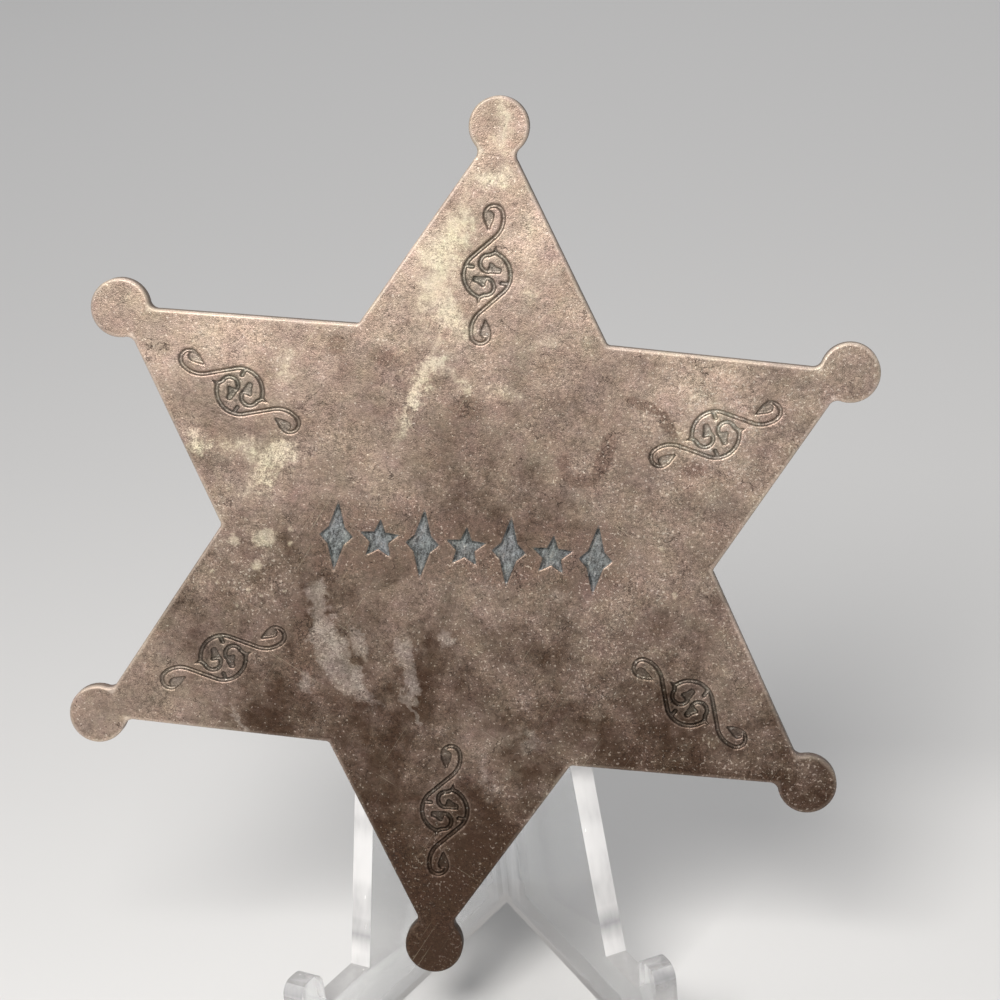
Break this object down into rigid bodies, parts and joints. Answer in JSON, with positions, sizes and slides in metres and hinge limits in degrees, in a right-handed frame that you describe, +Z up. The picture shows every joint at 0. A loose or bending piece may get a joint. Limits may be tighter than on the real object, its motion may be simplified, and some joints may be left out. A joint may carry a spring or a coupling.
{
  "type": "star badge on a clear display easel",
  "caption": "Flat star-shaped metal badge with round-tipped points and stamped scrolls, pinned at the back, hanging on a clear V-shaped display easel.",
  "frame": {"origin": "on the ground, in the middle of the space that the badge and its easel stand over", "axes": "+Z up; the badge's face looks along -Y and leans back by 12 degrees; +X is to the right as one looks at the face"},
  "size_m": [0.0724, 0.0336, 0.0808],
  "materials": {
    "aged_bronze": "brown aged bronze, worn and mottled",
    "pin_metal": "dull aged brass",
    "clear_plastic": "clear, glossy, with bright cut edges"
  },
  "bodies": {
    "root": {"star_plate": "aged_bronze", "pin_back": "pin_metal", "display_easel": "clear_plastic"}
  },
  "joints": []
}
